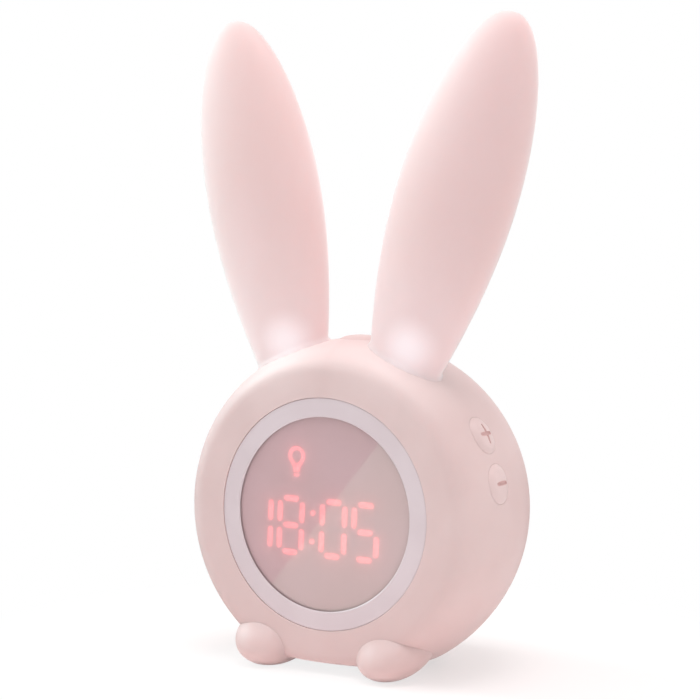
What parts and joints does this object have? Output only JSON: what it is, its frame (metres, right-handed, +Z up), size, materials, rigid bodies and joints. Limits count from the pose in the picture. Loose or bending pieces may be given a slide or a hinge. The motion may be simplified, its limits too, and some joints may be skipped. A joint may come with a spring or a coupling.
{
  "type": "alarm clock",
  "caption": "Bedside alarm clock with a round pink body, tall glowing silicone ears as night light, round digital display, little feet and press buttons.",
  "frame": {"origin": "on the surface the clock stands on, under the centre of its bounding box", "axes": "+Z up, the display faces -Y, +X to the right of someone reading the display; metres"},
  "size_m": [0.1192, 0.073, 0.2055],
  "materials": {
    "body_plastic": "soft satin moulding",
    "ear_silicone": "milky translucent silicone, matt",
    "pad_rubber": "matt",
    "bezel_satin": "satin lacquer",
    "tinted_window": "polished, tinted",
    "black_plastic": "matt",
    "lit_red": "lit from behind",
    "clear_diffuser": "milky",
    "lamp_white": "small lamp packages",
    "circuit_board": "solder mask",
    "white_board": "white solder mask",
    "battery_sleeve": "shrink sleeve over a metal can",
    "steel": "plated",
    "speaker_iron": "black coated"
  },
  "bodies": {
    "housing": {"front_shell": "body_plastic", "rear_cover": "body_plastic", "ear_right": "ear_silicone", "ear_left": "ear_silicone", "foot_right": "body_plastic", "foot_left": "body_plastic", "foot_screws": "steel", "rear_foot_pad": "pad_rubber", "bezel_ring": "bezel_satin", "display_window": "tinted_window", "light_box": "black_plastic", "digit_segments": "lit_red", "unlit_segments": "clear_diffuser", "bulb_sign": "lit_red", "display_leds": "lamp_white", "display_board": "circuit_board", "board_spacers": "black_plastic", "main_board": "circuit_board", "board_screws": "steel", "control_chips": "black_plastic", "battery_holder": "black_plastic", "battery_cell": "battery_sleeve", "battery_contacts": "steel", "speaker_frame": "speaker_iron", "speaker_cone": "black_plastic", "charging_board": "circuit_board", "charging_socket": "steel", "charging_board_screws": "steel", "key_board_right": "circuit_board", "key_board_left": "circuit_board", "key_board_screws": "steel", "key_switches": "black_plastic", "ear_light_board": "white_board", "ear_light_leds": "lamp_white", "light_board_screws": "steel", "rear_screws": "steel"},
    "plus_key": {"plus_button": "body_plastic", "plus_plunger": "black_plastic"},
    "minus_key": {"minus_button": "body_plastic", "minus_plunger": "black_plastic"},
    "mode_key": {"mode_button": "body_plastic", "mode_plunger": "black_plastic"},
    "alarm_key": {"alarm_button": "body_plastic", "alarm_plunger": "black_plastic"},
    "top_key": {"top_button": "body_plastic", "top_plunger": "black_plastic"}
  },
  "joints": [
    {"name": "plus_press", "type": "slide", "parent": "housing", "child": "plus_key", "axis": [-0.9314, 0, -0.3641], "range_m": [0, 0.0005], "stiffness_N_per_m": 1500},
    {"name": "minus_press", "type": "slide", "parent": "housing", "child": "minus_key", "axis": [-0.9314, 0, -0.3641], "range_m": [0, 0.0005], "stiffness_N_per_m": 1500},
    {"name": "mode_press", "type": "slide", "parent": "housing", "child": "mode_key", "axis": [0.9314, 0, -0.3641], "range_m": [0, 0.0005], "stiffness_N_per_m": 1500},
    {"name": "alarm_press", "type": "slide", "parent": "housing", "child": "alarm_key", "axis": [0.9314, 0, -0.3641], "range_m": [0, 0.0005], "stiffness_N_per_m": 1500},
    {"name": "top_press", "type": "slide", "parent": "housing", "child": "top_key", "axis": [0, 0, -1], "range_m": [0, 0.0005], "stiffness_N_per_m": 1500}
  ]
}
